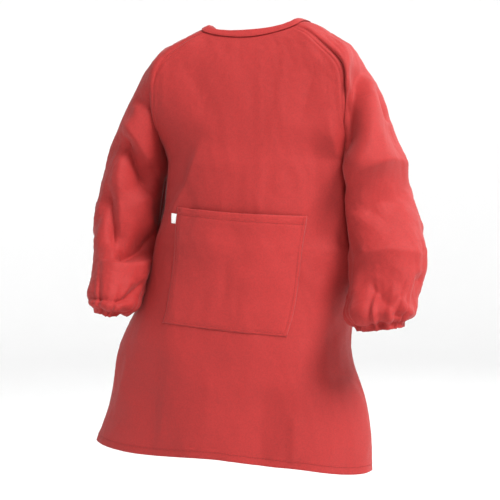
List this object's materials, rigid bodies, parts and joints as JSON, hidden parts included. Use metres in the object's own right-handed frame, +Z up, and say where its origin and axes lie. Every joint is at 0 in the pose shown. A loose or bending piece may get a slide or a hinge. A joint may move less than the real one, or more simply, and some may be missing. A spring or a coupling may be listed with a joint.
{
  "type": "artist smock apron",
  "caption": "Child's long-sleeved artist smock with a closed front, a patch pocket, raglan sleeves with elastic cuffs and a back that opens.",
  "frame": {"origin": "centre of the neck opening, level with the sides of the neckline, where the wearer's neck comes through", "axes": "+Z up, the front faces -Y, +X is the wearer's left"},
  "size_m": [0.4834, 0.2416, 0.6207],
  "materials": {
    "twill": "matte",
    "twill_trim": "matte",
    "elastic": "matte",
    "label_tape": "satin",
    "hook_nylon": "satin",
    "loop_nylon": "matte"
  },
  "bodies": {
    "body": {"front_panel": "twill", "back_yoke_left": "twill", "back_yoke_right": "twill", "shoulder_cap_left": "twill", "shoulder_cap_right": "twill", "neck_binding": "twill_trim", "patch_pocket": "twill", "pocket_label": "label_tape", "loop_patch": "loop_nylon"},
    "left_sleeve": {"sleeve_left": "twill", "cuff_elastic_left": "elastic", "cuff_casing_left": "twill_trim"},
    "right_sleeve": {"sleeve_right": "twill", "cuff_elastic_right": "elastic", "cuff_casing_right": "twill_trim"},
    "left_back": {"back_flap_left": "twill"},
    "right_back": {"back_flap_right": "twill"},
    "tab": {"neck_tab": "twill_trim", "hook_patch": "hook_nylon"}
  },
  "joints": [
    {"name": "left_sleeve_raise", "type": "hinge", "parent": "body", "child": "left_sleeve", "pos_m": [0.1575, 0, -0.047], "axis": [0, -1, 0], "range_deg": [0, 60]},
    {"name": "right_sleeve_raise", "type": "hinge", "parent": "body", "child": "right_sleeve", "pos_m": [-0.1575, 0, -0.047], "axis": [0, 1, 0], "range_deg": [0, 60]},
    {"name": "left_back_open", "type": "hinge", "parent": "body", "child": "left_back", "pos_m": [0.1263, 0, -0.19], "axis": [0.112, 0, -0.9937], "range_deg": [0, 32]},
    {"name": "right_back_open", "type": "hinge", "parent": "body", "child": "right_back", "pos_m": [-0.1263, 0, -0.19], "axis": [0.2531, 0, 0.9674], "range_deg": [0, 32]},
    {"name": "neck_tab_peel", "type": "hinge", "parent": "body", "child": "tab", "pos_m": [0.0084, 0.0539, -0.0067], "axis": [0, 0.3899, -0.9208], "range_deg": [0, 90]}
  ]
}
